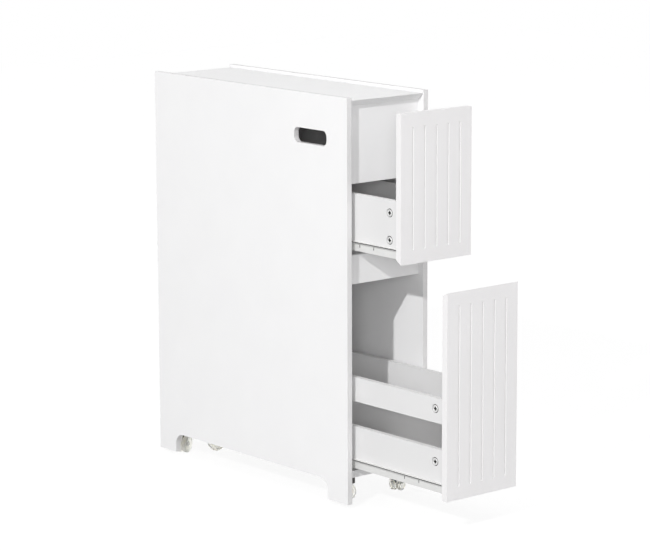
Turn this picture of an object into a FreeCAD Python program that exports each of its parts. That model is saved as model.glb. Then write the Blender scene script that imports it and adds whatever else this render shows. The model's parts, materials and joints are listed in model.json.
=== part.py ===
import FreeCAD, Part
import Sketcher
import os
import re

# Narrow white bathroom cabinet on casters: a lift-up lid over a tissue compartment, and two drawers
# on roller runners. It is drawn as it stands, with both drawers partly out.
# X runs to the right across the front, Y runs to the back, Z is up and the floor is Z = 0.

# Driving dimensions, in millimetres. Heights named low are counted up from the feet, and those named
# drop down from the top edges of the side panels.
DIMENSIONS = {
    "cabinet_width": 182,
    "cabinet_depth": 535,
    "panel_height": 700,
    "floor_gap": 8,
    "side_board": 10,
    "thick_board": 12,
    "back_board": 5,
    "thin_board": 4,
    "lid_drop": 5,
    "lid_gap": 1,
    "front_gap": 2,
    "front_clearance": 1,
    "front_foot": 53,
    "back_foot": 48,
    "arch_height": 35,
    "arch_radius": 20,
    "slot_start": 53,
    "slot_length": 86,
    "slot_drop": 61,
    "slot_height": 26,
    "slot_radius": 10,
    "shelf_drop": 148,
    "rail_drop": 320,
    "rail_height": 50,
    "floor_low": 42,
    "upper_front_drop": 268,
    "upper_bevel": 8,
    "upper_side_drop": 259.5,
    "upper_side_height": 95.5,
    "upper_cam_low": 28,
    "upper_cam_high": 74,
    "lower_front_low": 52,
    "lower_front_drop": 297.5,
    "lower_bevel": 6,
    "lower_side_low": 62,
    "lower_board_height": 72,
    "lower_rail_low": 178,
    "lower_rail_height": 42,
    "lower_cam": 50,
    "rail_cam": 24,
    "runner_overlap": 100,
    "upper_stay": 178,
    "lower_stay": 64,
    "groove_radius": 2,
    "groove_margin": 25,
    "bottom_rise": 10,
    "bottom_tongue": 5,
    "runner_gap": 12.5,
    "runner_length": 400,
    "runner_rise": 15.5,
    "runner_lip": 6,
    "sheet_metal": 1.2,
    "roller_radius": 8,
    "roller_width": 6,
    "roller_axle": 2,
    "roller_end": 12,
    "roller_cap": 0.7,
    "channel_play": 0.5,
    "strip_hole": 2,
    "stop_lug": 3,
    "lug_width": 4,
    "clear_gap": 0.3,
    "running_fit": 0.05,
    "cam_radius": 7.5,
    "cam_setback": 28,
    "bolt_radius": 2.5,
    "bolt_tip": 1.5,
    "carcass_cam_front": 90,
    "carcass_cam_back": 130,
    "dowel_radius": 3,
    "dowel_depth": 18,
    "dowel_front": 60,
    "dowel_back": 160,
    "screw_radius": 1.6,
    "screw_head": 3,
    "screw_length": 8,
    "pin_radius": 2.5,
    "pin_depth": 12,
    "bush_radius": 4,
    "bush_length": 8,
    "wheel_radius": 16,
    "wheel_width": 8,
    "wheel_dish": 3,
    "wheel_hub": 6,
    "wheel_round": 2.5,
    "caster_trail": 9,
    "caster_room": 1,
    "caster_front_room": 12,
    "caster_middle_gap": 40,
    "caster_plate": 38,
    "caster_sheet": 2,
    "arm_width": 4,
    "arm_end": 5.5,
    "cheek_gap": 0.5,
    "hub_radius": 9,
    "hub_gap": 1.5,
    "hub_floor": 3,
    "hub_play": 0.5,
    "kingpin_radius": 4,
    "axle_radius": 3,
    "rivet_head": 1,
}

doc = FreeCAD.newDocument("bathroom_cabinet")
sheet = doc.addObject("Spreadsheet::Sheet", "dims")
for row, (alias, value) in enumerate(DIMENSIONS.items(), 1):
    sheet.set(f"A{row}", alias)
    sheet.set(f"B{row}", str(value))
    sheet.setAlias(f"B{row}", alias)
doc.recompute()

# Places that many pieces share, as expressions of the driving dimensions.
INSIDE = "(cabinet_width / 2 - side_board)"
DRAWER = "(cabinet_width / 2 - side_board - runner_gap)"
UPPER_OUT = "(runner_length - runner_overlap - upper_stay)"
LOWER_OUT = "(runner_length - runner_overlap - lower_stay)"
FRONT = f"(({LOWER_OUT} - cabinet_depth) / 2)"
BACK = f"(({LOWER_OUT} + cabinet_depth) / 2)"
RECESS = f"({FRONT} + thick_board + front_clearance)"
LID_TOP = "(floor_gap + panel_height - lid_drop)"
LID_LOW = f"({LID_TOP} - side_board)"
LID_AXIS_Y = f"({BACK} - lid_gap - side_board / 2)"
LID_AXIS_Z = f"({LID_TOP} - side_board / 2)"
SHELF_LOW = "(floor_gap + panel_height - shelf_drop)"
RAIL_LOW = "(floor_gap + panel_height - rail_drop)"
FLOOR_LOW = "(floor_gap + floor_low)"
UPPER_SIDE_LOW = "(panel_height - upper_side_drop)"
UPPER_FRONT_LOW = "(panel_height - upper_front_drop)"
AXLE_RISE = "(runner_rise - sheet_metal - clear_gap - roller_radius)"
WHEEL_FACE = "(arm_width / 2 + cheek_gap)"
CASTER_SWEEP = f"sqrt((caster_trail + wheel_radius) ^ 2 + ({WHEEL_FACE} + wheel_width) ^ 2)"
SIDES = (("left", -1), ("right", 1))

TURNS = {
    "x": FreeCAD.Rotation(FreeCAD.Vector(0, 1, 0), 90),
    "y": FreeCAD.Rotation(FreeCAD.Vector(1, 0, 0), -90),
    "z": FreeCAD.Rotation(),
}
nodes = {}


def linked(text):
    """The same expression with every driving dimension read from the sheet."""
    text = str(text)
    return re.sub(r"[a-z_]+", lambda word: "dims." + word[0] if word[0] in DIMENSIONS else word[0], text)


def number(text):
    return float(sheet.evalExpression(linked(text)))


def place(item, x, y, z):
    for axis, text in zip("xyz", (x, y, z)):
        item.setExpression("Placement.Base." + axis, linked(text))
    return item


def box(name, low, size):
    item = doc.addObject("Part::Box", name)
    for side, text in zip(("Length", "Width", "Height"), size):
        item.setExpression(side, linked(text))
    return place(item, *low)


def rod(name, start, radius, length, along):
    item = doc.addObject("Part::Cylinder", name)
    item.Placement.Rotation = TURNS[along]
    item.setExpression("Radius", linked(radius))
    item.setExpression("Height", linked(length))
    return place(item, *start)


def cross_rod(name, sign, inner, outer, y, z, radius):
    """A round piece along X on one side of the cabinet, between two distances from its middle."""
    start = inner if sign > 0 else f"-({outer})"
    return rod(name, (start, y, z), radius, f"({outer}) - ({inner})", "x")


def ball(name, centre, radius):
    item = doc.addObject("Part::Sphere", name)
    item.setExpression("Radius", linked(radius))
    return place(item, *centre)


def group(name, items):
    item = doc.addObject("Part::Compound", name)
    item.Links = items
    return item


def fuse(name, items):
    item = doc.addObject("Part::MultiFuse", name)
    item.Shapes = items
    return item


def cut(name, base, tools):
    item = doc.addObject("Part::Cut", name)
    item.Base = base
    item.Tool = tools[0] if len(tools) == 1 else group(name + "_tools", tools)
    return item


def mirror(name, source, normal=(1, 0, 0)):
    item = doc.addObject("Part::Mirroring", name)
    item.Source = source
    item.Normal = FreeCAD.Vector(*normal)
    return item


def node(label, item):
    item.Label = label
    nodes[label] = item
    return item


def new_sketch(body, name, role):
    sketch = body.newObject("Sketcher::SketchObject", name)
    plane = [item for item in body.Origin.OriginFeatures if item.Role == role][0]
    sketch.AttachmentSupport = [(plane, "")]
    sketch.MapMode = "FlatFace"
    return sketch


def hold(sketch, line, end, x, y):
    """Ties one end of a sketch line to its place, measured from the sketch's origin."""
    for kind, axis, text in (("DistanceX", -2, x), ("DistanceY", -1, y)):
        if text == "0":
            sketch.addConstraint(Sketcher.Constraint("PointOnObject", line, end, axis))
        else:
            index = sketch.addConstraint(Sketcher.Constraint(kind, -1, 1, line, end, number(text)))
            sketch.setExpression(f"Constraints[{index}]", linked(text))


def polygon(sketch, points):
    corners = [FreeCAD.Vector(number(x), number(y), 0) for x, y in points]
    count = len(points)
    for index in range(count):
        sketch.addGeometry(Part.LineSegment(corners[index], corners[(index + 1) % count]), False)
    for index in range(count):
        sketch.addConstraint(Sketcher.Constraint("Coincident", index, 2, (index + 1) % count, 1))
    for index, (x, y) in enumerate(points):
        hold(sketch, index, 1, x, y)


def pad(body, sketch, length, backwards=False):
    item = body.newObject("PartDesign::Pad", sketch.Name + "_pad")
    item.Profile = sketch
    item.setExpression("Length", linked(length))
    item.Reversed = backwards
    return item


def profile(name, role, points, length):
    """A body with one straight-sided outline. Outlines in the XZ plane are drawn out towards +Y."""
    body = doc.addObject("PartDesign::Body", name)
    sketch = new_sketch(body, name + "_outline", role)
    polygon(sketch, points)
    pad(body, sketch, length, role == "XZ_Plane")
    return body


def round_edges(body, name, base, radius, wanted):
    """Rounds the edges of the newest feature that run along X and meet a test on their middle."""
    doc.recompute()
    found = []
    for index, edge in enumerate(base.Shape.Edges, 1):
        low, high = edge.BoundBox.YMin, edge.BoundBox.YMax
        flat = high - low < 1e-6 and edge.BoundBox.ZLength < 1e-6
        if flat and wanted(low, edge.BoundBox.ZMin):
            found.append(f"Edge{index}")
    item = body.newObject("PartDesign::Fillet", name)
    item.Base = (base, found)
    item.setExpression("Radius", linked(radius))
    return item


def near(first, second):
    return abs(first - second) < 1e-4


# Side panels: one board each, with feet and an arch between them. The left one has the tissue slot.
def panel_blank(side):
    body = doc.addObject("PartDesign::Body", side + "_panel_blank")
    outline = new_sketch(body, side + "_panel_outline", "YZ_Plane")
    polygon(outline, [
        ("0", "0"),
        ("front_foot", "0"),
        ("front_foot", "arch_height"),
        ("cabinet_depth - back_foot", "arch_height"),
        ("cabinet_depth - back_foot", "0"),
        ("cabinet_depth", "0"),
        ("cabinet_depth", "panel_height"),
        ("0", "panel_height"),
    ])
    plate = pad(body, outline, "side_board")
    arch = number("arch_height")
    last = round_edges(body, side + "_arch_round", plate, "arch_radius", lambda y, z: near(z, arch))
    if side == "left":
        mouth = new_sketch(body, "slot_outline", "YZ_Plane")
        ends = ("slot_start", "slot_start + slot_length")
        levels = ("panel_height - slot_drop - slot_height", "panel_height - slot_drop")
        corners = ((0, 0), (1, 0), (1, 1), (0, 1))
        polygon(mouth, [(ends[across], levels[up]) for across, up in corners])
        pocket = body.newObject("PartDesign::Pocket", "slot_pocket")
        pocket.Profile = mouth
        pocket.Type = "ThroughAll"
        pocket.Reversed = True
        spots = [(number(y), number(z)) for y in ends for z in levels]
        last = round_edges(body, "slot_round", pocket, "slot_radius",
                           lambda y, z: any(near(y, a) and near(z, b) for a, b in spots))
    body.Tip = last
    start = "-cabinet_width / 2" if side == "left" else INSIDE
    return place(body, start, FRONT, "floor_gap")


# Screws: a flat head and a plain shank.
def screw_outwards(name, sign, face, y, z):
    """A screw that goes away from the cabinet's middle, with its head on the inner side of a sheet."""
    head = cross_rod(name + "_head", sign, f"{face} - sheet_metal", face, y, z, "screw_head")
    shank = cross_rod(name + "_shank", sign, face, f"{face} + screw_length", y, z, "screw_radius")
    return fuse(name, [head, shank])


def screw_upwards(name, x, y, face):
    """A screw driven from below, with its head under a sheet."""
    head = rod(name + "_head", (x, y, f"{face} - sheet_metal"), "screw_head", "sheet_metal", "z")
    shank = rod(name + "_shank", (x, y, face), "screw_radius", "screw_length", "z")
    return fuse(name, [head, shank])


carcass_screws = []
back_screws = []
for board_name, level in (("shelf", SHELF_LOW), ("floor", FLOOR_LOW)):
    for column in (-1, 0, 1):
        name = f"back_screw_{board_name}_{column + 1}"
        x = f"{column} * cabinet_width / 4"
        z = f"{level} + thick_board / 2"
        head = rod(name + "_head", (x, f"{BACK} - sheet_metal", z), "screw_head", "sheet_metal", "y")
        shank = rod(name + "_shank", (x, f"{BACK} - back_board - screw_length * 2", z),
                    "screw_radius", "back_board + screw_length * 2 - sheet_metal", "y")
        back_screws.append(fuse(name, [head, shank]))
carcass_screws += back_screws

# Dowels, cam locks and bolts that hold the cross boards between the side panels.
dowel_spots = []
cam_spots = []
for level in (SHELF_LOW, FLOOR_LOW):
    for y in (f"{RECESS} + dowel_front", f"{BACK} - dowel_back"):
        dowel_spots.append((y, f"{level} + thick_board / 2"))
    for y in (f"{RECESS} + carcass_cam_front", f"{BACK} - carcass_cam_back"):
        cam_spots.append((y, level))
for part in (0.25, 0.75):
    dowel_spots.append((f"{RECESS} + thick_board / 2", f"{RAIL_LOW} + rail_height * {part}"))
    dowel_spots.append((f"{RECESS} + side_board / 2",
                        f"{SHELF_LOW} + thick_board + ({LID_LOW} - {SHELF_LOW} - thick_board) * {part}"))
dowels, bolts, cam_blanks, cam_keys = [], [], [], []
for side, sign in SIDES:
    for index, (y, z) in enumerate(dowel_spots):
        dowels.append(cross_rod(f"{side}_dowel_{index}", sign, f"{INSIDE} - dowel_depth",
                                f"{INSIDE} + side_board * 0.7", y, z, "dowel_radius"))
    for index, (y, low) in enumerate(cam_spots):
        x = f"{sign} * ({INSIDE} - cam_setback)"
        bolts.append(cross_rod(f"{side}_bolt_{index}", sign, f"{INSIDE} - cam_setback + bolt_tip",
                               f"{INSIDE} + side_board * 0.75", y, f"{low} + thick_board / 2", "bolt_radius"))
        cam_blanks.append(rod(f"{side}_cam_blank_{index}", (x, y, low),
                              "cam_radius", "thick_board * 0.8", "z"))
        key = doc.addObject("Part::Prism", f"{side}_cam_key_{index}")
        key.Polygon = 6
        key.setExpression("Circumradius", linked("cam_radius / 2"))
        key.setExpression("Height", linked("thick_board / 6"))
        cam_keys.append(place(key, x, y, low))
carcass_dowels = node("carcass_dowels", group("carcass_dowels", dowels))
carcass_bolts = node("carcass_cam_bolts", group("carcass_bolts", bolts))
carcass_cam_blanks = group("carcass_cam_blanks", cam_blanks)
node("carcass_cam_locks", cut("carcass_cams", carcass_cam_blanks, cam_keys + [carcass_bolts]))

# Lid pivots: a pin in each end of the lid turns in a bush let into the side panel.
bush_blanks, pins, bush_bores = [], [], []
for side, sign in SIDES:
    bush_blanks.append(cross_rod(side + "_bush_blank", sign, INSIDE, f"{INSIDE} + bush_length",
                                 LID_AXIS_Y, LID_AXIS_Z, "bush_radius"))
    bush_bores.append(cross_rod(side + "_bush_bore", sign, f"{INSIDE} - 1", f"{INSIDE} + bush_length",
                                LID_AXIS_Y, LID_AXIS_Z, "pin_radius + running_fit"))
    pins.append(cross_rod(side + "_pin", sign, f"{INSIDE} - lid_gap - pin_depth",
                          f"{INSIDE} + bush_length - clear_gap", LID_AXIS_Y, LID_AXIS_Z, "pin_radius"))
bush_solid = group("lid_bush_blanks", bush_blanks)
node("lid_bushes", cut("lid_bush_rings", bush_solid, bush_bores))
lid_pins = node("lid_pivot_pins", group("lid_pins", pins))


# Lid: bevelled front edge as a finger grip, rounded back edge that turns about the pins.
def build_lid():
    body = doc.addObject("PartDesign::Body", "lid_blank")
    sketch = new_sketch(body, "lid_outline", "YZ_Plane")
    straight = "cabinet_depth - lid_gap - side_board / 2"
    length, thick = number(straight), number("side_board")
    corners = [(0, thick), (thick, 0), (length, 0), (length, thick)]
    points = [FreeCAD.Vector(y, z, 0) for y, z in corners]
    for first, second in ((0, 1), (1, 2), (3, 0)):
        sketch.addGeometry(Part.LineSegment(points[first], points[second]), False)
    middle = Part.Circle(FreeCAD.Vector(length, thick / 2, 0), FreeCAD.Vector(0, 0, 1), thick / 2)
    quarter = 1.5707963267948966
    sketch.addGeometry(Part.ArcOfCircle(middle, -quarter, quarter), False)
    for first, end, second, start in ((0, 2, 1, 1), (1, 2, 3, 1), (3, 2, 2, 1), (2, 2, 0, 1)):
        sketch.addConstraint(Sketcher.Constraint("Coincident", first, end, second, start))
    hold(sketch, 0, 1, "0", "side_board")
    hold(sketch, 1, 1, "side_board", "0")
    hold(sketch, 1, 2, straight, "0")
    hold(sketch, 2, 1, straight, "side_board")
    centre = sketch.addConstraint(Sketcher.Constraint("DistanceX", -1, 1, 3, 3, length))
    sketch.setExpression(f"Constraints[{centre}]", linked(straight))
    pad(body, sketch, f"2 * ({INSIDE} - lid_gap)")
    place(body, f"-({INSIDE} - lid_gap)", FRONT, LID_LOW)
    node("lid", cut("lid_board", body, [lid_pins]))


build_lid()


# Rollers: nylon rings that turn on pins riveted to the runners.
def roller(label, sign, inner, y, z):
    ring = cross_rod(label + "_blank", sign, inner, f"{inner} + roller_width", y, z, "roller_radius")
    bore = cross_rod(label + "_bore", sign, f"{inner} - 1", f"{inner} + roller_width + 1",
                     y, z, "roller_axle + running_fit")
    node(label, cut(label + "_ring", ring, [bore]))


def cabinet_runner(drawer, low):
    """The channel on the side panel, with its front roller and the lug that stops the drawer."""
    start = f"({FRONT} + thick_board + 2 * front_clearance)"
    axle_z = f"(floor_gap + {low} + {AXLE_RISE})"
    base_z = f"({axle_z} - roller_radius - clear_gap - sheet_metal)"
    rise = f"(runner_rise + channel_play - {AXLE_RISE} + roller_radius + clear_gap + 2 * sheet_metal)"
    foot, top = "(runner_gap - 1.5 * sheet_metal)", "(runner_gap * 0.56)"
    channel = profile(drawer + "_channel", "XZ_Plane", [
        ("0", "0"),
        (foot, "0"),
        (foot, "sheet_metal"),
        ("sheet_metal", "sheet_metal"),
        ("sheet_metal", f"{rise} - sheet_metal"),
        (top, f"{rise} - sheet_metal"),
        (top, rise),
        ("0", rise),
    ], "runner_length")
    place(channel, f"-{INSIDE}", start, base_z)
    roller_y = f"({start} + roller_end)"
    inner = f"({INSIDE} - 2 * sheet_metal - roller_width)"
    axle = cross_rod(drawer + "_front_axle", -1, f"{inner} - 2 * clear_gap", f"{INSIDE} - sheet_metal / 2",
                     roller_y, axle_z, "roller_axle")
    cap = cross_rod(drawer + "_front_cap", -1, f"{inner} - clear_gap - roller_cap", f"{inner} - clear_gap",
                    roller_y, axle_z, "roller_axle * 1.6")
    full_out = f"({FRONT} + thick_board + runner_overlap - roller_end)"
    touch = "sqrt(roller_radius ^ 2 - (roller_radius + clear_gap - stop_lug) ^ 2)"
    lug_y = f"{full_out} - {touch} - clear_gap - lug_width"
    lug = box(drawer + "_stop_lug", (f"-{INSIDE} + sheet_metal / 2", lug_y, f"{base_z} + sheet_metal / 2"),
              (f"{foot} - sheet_metal", "lug_width", "stop_lug + sheet_metal / 2"))
    solid = fuse(drawer + "_channel_parts", [channel, axle, cap, lug])
    left_screws = []
    for index, part in enumerate((0.12, 0.5, 0.9)):
        for side, sign in SIDES:
            screw = screw_outwards(f"{drawer}_{side}_channel_screw_{index}", sign, f"{INSIDE} - sheet_metal",
                                   f"{start} + runner_length * {part}", axle_z)
            carcass_screws.append(screw)
            if side == "left":
                left_screws.append(screw)
    left = cut(drawer + "_left_channel", solid, left_screws)
    node(drawer + "_left_cabinet_runner", left)
    node(drawer + "_right_cabinet_runner", mirror(drawer + "_right_channel", left))
    for side, sign in SIDES:
        roller(f"{drawer}_{side}_front_roller", sign, inner, roller_y, axle_z)


cabinet_runner("upper", UPPER_SIDE_LOW)
cabinet_runner("lower", "lower_side_low")

# Casters: four at the corners of the bottom panel and one near the middle of its back. Each has an arm
# that turns on a pin under its plate, with one wheel on either side of the arm.
CASTER_X = f"({INSIDE} - {CASTER_SWEEP} - caster_room)"
CASTER_FRONT = f"({FRONT} + {CASTER_SWEEP} + caster_front_room)"
CASTER_BACK = f"({BACK} - {CASTER_SWEEP} - caster_room)"
CASTERS = (
    ("front_left", f"-{CASTER_X}", CASTER_FRONT, 104),
    ("front_right", CASTER_X, CASTER_FRONT, 27),
    ("back_left", f"-{CASTER_X}", CASTER_BACK, 207),
    ("back_right", CASTER_X, CASTER_BACK, 35),
    ("back_middle", "0", f"{CASTER_BACK} - caster_middle_gap", 120),
)
plates = []


def caster(name, x, y, angle):
    turn = FreeCAD.Rotation(FreeCAD.Vector(0, 0, 1), angle)
    plate_low = f"({FLOOR_LOW} - caster_sheet)"
    hub_low = "(2 * wheel_radius + hub_gap)"
    socket_low = f"({hub_low} + hub_floor)"
    plate = box(name + "_plate", (f"{x} - caster_plate / 2", f"{y} - caster_plate / 2", plate_low),
                ("caster_plate", "caster_plate", "caster_sheet"))
    pin = rod(name + "_kingpin", (x, y, f"{socket_low} + clear_gap"),
              "kingpin_radius", f"{FLOOR_LOW} - {socket_low} - clear_gap", "z")
    plates.append(fuse(name + "_plate_and_pin", [plate, pin]))
    for index, (right, back) in enumerate(((-1, -1), (-1, 1), (1, -1), (1, 1))):
        spot = (f"{x} + {right} * caster_plate * 0.37", f"{y} + {back} * caster_plate * 0.37")
        carcass_screws.append(screw_upwards(f"{name}_plate_screw_{index}", *spot, plate_low))

    hub = rod(name + "_hub", ("0", "0", hub_low), "hub_radius", f"{plate_low} - hub_play - {hub_low}", "z")
    socket = rod(name + "_socket", ("0", "0", socket_low), "kingpin_radius + running_fit", plate_low, "z")
    arm = profile(name + "_arm_plate", "XZ_Plane", [
        ("0", f"{hub_low} + hub_floor / 2"),
        ("caster_trail + hub_radius * 0.7 - arm_end", "wheel_radius"),
        ("caster_trail + hub_radius * 0.7 + arm_end", "wheel_radius"),
        ("hub_radius * 1.6", f"{hub_low} + hub_floor / 2"),
    ], "arm_width")
    place(arm, "-hub_radius * 0.7", "-arm_width / 2", "0")
    eye = rod(name + "_arm_eye", ("caster_trail", "-arm_width / 2", "wheel_radius"),
              "arm_end", "arm_width", "y")
    head_face = f"({WHEEL_FACE} + wheel_hub + clear_gap)"
    axle = rod(name + "_axle", ("caster_trail", f"-{head_face} - rivet_head", "wheel_radius"),
               "axle_radius", f"2 * ({head_face} + rivet_head)", "y")
    heads = []
    for letter, head_y in (("a", head_face), ("b", f"-{head_face} - rivet_head")):
        heads.append(rod(f"{name}_rivet_{letter}", ("caster_trail", head_y, "wheel_radius"),
                         "axle_radius * 1.5", "rivet_head", "y"))
    solid = cut(name + "_arm", fuse(name + "_arm_parts", [hub, arm, eye, axle] + heads), [socket])
    solid.Placement.Rotation = turn
    node(name + "_caster_arm", place(solid, x, y, "0"))

    body = doc.addObject("PartDesign::Body", name + "_wheel")
    sketch = new_sketch(body, name + "_wheel_outline", "XY_Plane")
    for axis, text in zip("xyz", ("caster_trail", "0", "wheel_radius")):
        sketch.setExpression("AttachmentOffset.Base." + axis, linked(text))
    bore, hub_edge, rim = "axle_radius + running_fit", "axle_radius * 2", "wheel_radius * 0.68"
    outer = f"({WHEEL_FACE} + wheel_width)"
    polygon(sketch, [
        (bore, WHEEL_FACE),
        ("wheel_radius - wheel_round / 2", WHEEL_FACE),
        ("wheel_radius", f"{WHEEL_FACE} + wheel_round / 2"),
        ("wheel_radius", f"{outer} - wheel_round"),
        ("wheel_radius - wheel_round", outer),
        (rim, outer),
        (rim, f"{outer} - wheel_dish"),
        (hub_edge, f"{outer} - wheel_dish"),
        (hub_edge, f"{WHEEL_FACE} + wheel_hub"),
        (bore, f"{WHEEL_FACE} + wheel_hub"),
    ])
    spin = body.newObject("PartDesign::Revolution", name + "_wheel_turned")
    spin.Profile = sketch
    spin.ReferenceAxis = (sketch, ["V_Axis"])
    spin.Angle = 360
    pair = group(name + "_wheel_pair", [body, mirror(name + "_wheel_twin", body, (0, 1, 0))])
    pair.Placement.Rotation = turn
    node(name + "_caster_wheels", place(pair, x, y, "0"))


for name, x, y, angle in CASTERS:
    caster(name, x, y, angle)

screws = node("carcass_screws", group("carcass_screw_set", carcass_screws))
node("caster_plates", cut("caster_plate_set", group("caster_plate_blanks", plates), [screws]))

# The fixed boards of the cabinet, bored for what holds them.
for side, sign in SIDES:
    tools = [carcass_dowels, carcass_bolts, screws, bush_solid]
    node(side + "_side_panel", cut(side + "_panel", panel_blank(side), tools))

SPAN = f"2 * {INSIDE}"
boards = {
    "bottom_panel": ((RECESS, FLOOR_LOW), (f"{BACK} - back_board - {RECESS}", "thick_board")),
    "tissue_shelf": ((RECESS, SHELF_LOW), (f"{BACK} - back_board - {RECESS}", "thick_board")),
    "middle_rail": ((RECESS, RAIL_LOW), ("thick_board", "rail_height")),
    "tissue_front_panel": ((RECESS, f"{SHELF_LOW} + thick_board"),
                           ("side_board", f"{LID_LOW} - clear_gap - {SHELF_LOW} - thick_board")),
    "back_panel": ((f"{BACK} - back_board", FLOOR_LOW),
                   ("back_board", f"{LID_LOW} - clear_gap - {FLOOR_LOW}")),
}
for label, ((y, z), (deep, high)) in boards.items():
    blank = box(label + "_blank", (f"-{INSIDE}", y, z), (SPAN, deep, high))
    node(label, cut(label + "_board", blank, [carcass_dowels, carcass_bolts, carcass_cam_blanks, screws]))


# Drawers: a grooved front, board sides, a back, a thin bottom, runners, cam locks and bolts.
def drawer(name, out, low, sides, front_low, front_high, outline):
    face = f"({FRONT} - {out})"
    rear = f"({face} + thick_board)"
    side_length = "(runner_length - side_board)"
    back_y = f"({rear} + {side_length})"
    base = f"(floor_gap + {low})"
    half_front = f"({INSIDE} - front_gap)"

    blanks, keys, bolts = [], [], []
    for side, sign in SIDES:
        for board_name, board_low, board_high, cams in sides:
            for index, rise in enumerate(cams):
                z = f"(floor_gap + {board_low} + {rise})"
                for end, y in (("front", f"{rear} + cam_setback"), ("back", f"{back_y} - cam_setback")):
                    label = f"{name}_{side}_{board_name}_{index}_{end}"
                    start = f"{rear} - thick_board * 0.7" if end == "front" else f"{y} + bolt_tip"
                    blanks.append(cross_rod(label + "_cam", sign, f"{DRAWER} - side_board * 0.8", DRAWER,
                                            y, z, "cam_radius"))
                    key = doc.addObject("Part::Prism", label + "_key")
                    key.Polygon = 6
                    key.Placement.Rotation = TURNS["x"]
                    key.setExpression("Circumradius", linked("cam_radius / 2"))
                    key.setExpression("Height", linked("side_board / 5"))
                    inner = f"-{DRAWER}" if sign < 0 else f"{DRAWER} - side_board / 5"
                    keys.append(place(key, inner, y, z))
                    grip = "thick_board * 0.7" if end == "front" else "side_board * 0.8"
                    bolts.append(rod(label + "_bolt", (f"{sign} * ({DRAWER} - side_board / 2)", start, z),
                                     "bolt_radius", f"cam_setback - bolt_tip + {grip}", "y"))
    bolt_set = node(name + "_drawer_cam_bolts", group(name + "_bolts", bolts))
    cam_blanks = group(name + "_cam_blanks", blanks)
    node(name + "_drawer_cam_locks", cut(name + "_cams", cam_blanks, keys + [bolt_set]))

    half_bottom = f"({DRAWER} - side_board + bottom_tongue)"
    bottom = box(name + "_bottom", (f"-{half_bottom}", rear, f"{base} + bottom_rise"),
                 (f"2 * {half_bottom}", side_length, "thin_board"))
    node(name + "_drawer_bottom", bottom)

    screws, left_screws = [], []
    axle_z = f"({base} + {AXLE_RISE})"
    for index, part in enumerate((0.09, 0.5, 0.85)):
        for side, sign in SIDES:
            x = f"{sign} * ({DRAWER} - side_board / 2)"
            screw = screw_upwards(f"{name}_{side}_runner_screw_{index}", x,
                                  f"{rear} + runner_length * {part}", f"{base} - sheet_metal")
            screws.append(screw)
            if side == "left":
                left_screws.append(screw)
    screw_set = node(name + "_drawer_screws", group(name + "_screws", screws))

    tools = [cam_blanks, bolt_set, bottom, screw_set]
    for board_name, board_low, board_high, cams in sides:
        for side, sign in SIDES:
            x = f"-{DRAWER}" if sign < 0 else f"{DRAWER} - side_board"
            label = f"{name}_drawer_{side}_{board_name}"
            blank = box(label + "_blank", (x, rear, f"floor_gap + {board_low}"),
                        ("side_board", side_length, board_high))
            node(label, cut(label + "_board", blank, tools))
    top = f"({sides[-1][1]} + {sides[-1][2]} - {low})"
    blank = box(name + "_back_blank", (f"-{DRAWER}", back_y, base), (f"2 * {DRAWER}", "side_board", top))
    node(name + "_drawer_back", cut(name + "_back", blank, [bolt_set]))

    # The front board's bevelled edge is the finger grip; five grooves part its face into six equal strips.
    front = profile(name + "_front_blank", "YZ_Plane", outline, f"2 * {half_front}")
    place(front, f"-{half_front}", face, f"floor_gap + {front_low}")
    grooves = []
    groove_low = f"(floor_gap + {front_low} + groove_margin)"
    groove_high = f"(floor_gap + {front_low} + {front_high} - groove_margin)"
    for index in range(1, 6):
        label = f"{name}_groove_{index}"
        x = f"{half_front} * ({index} / 3 - 1)"
        run = rod(label + "_run", (x, face, groove_low),
                  "groove_radius", f"{groove_high} - {groove_low}", "z")
        ends = [ball(f"{label}_{end}", (x, face, z), "groove_radius")
                for end, z in (("low", groove_low), ("high", groove_high))]
        grooves.append(fuse(label, [run] + ends))
    node(name + "_drawer_front", cut(name + "_front", front, grooves + [bolt_set]))

    # Drawer runner: a bent strip under the side, with a lip that rides on the front roller.
    height = "(runner_rise + sheet_metal)"
    strip = profile(name + "_strip", "XZ_Plane", [
        ("0", f"{height} - sheet_metal"),
        ("runner_lip", f"{height} - sheet_metal"),
        ("runner_lip", "0"),
        ("runner_lip + sheet_metal + side_board", "0"),
        ("runner_lip + sheet_metal + side_board", "sheet_metal"),
        ("runner_lip + sheet_metal", "sheet_metal"),
        ("runner_lip + sheet_metal", height),
        ("0", height),
    ], "runner_length")
    place(strip, f"-{DRAWER} - sheet_metal - runner_lip", rear, f"{base} - sheet_metal")
    roller_y = f"({rear} + runner_length - roller_end)"
    inner = f"({DRAWER} + sheet_metal + 2 * clear_gap)"
    outer = f"({inner} + roller_width + clear_gap)"
    axle = cross_rod(name + "_rear_axle", -1, f"{DRAWER} + sheet_metal / 2", f"{outer} + clear_gap",
                     roller_y, axle_z, "roller_axle")
    cap = cross_rod(name + "_rear_cap", -1, outer, f"{outer} + roller_cap",
                    roller_y, axle_z, "roller_axle * 1.6")
    solid = fuse(name + "_strip_parts", [strip, axle, cap])
    holes = []
    for index, part in enumerate((0.165, 0.254, 0.7)):
        y = f"{rear} + runner_length * {part}"
        holes.append(box(f"{name}_strip_hole_{index}",
                         (f"-{DRAWER} - sheet_metal", y, f"{base} + runner_rise * 0.35"),
                         ("sheet_metal", "strip_hole", "runner_rise * 0.35")))
    left = cut(name + "_left_strip", solid, holes + left_screws)
    node(name + "_left_drawer_runner", left)
    node(name + "_right_drawer_runner", mirror(name + "_right_strip", left))
    for side, sign in SIDES:
        roller(f"{name}_{side}_rear_roller", sign, inner, roller_y, axle_z)


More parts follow.
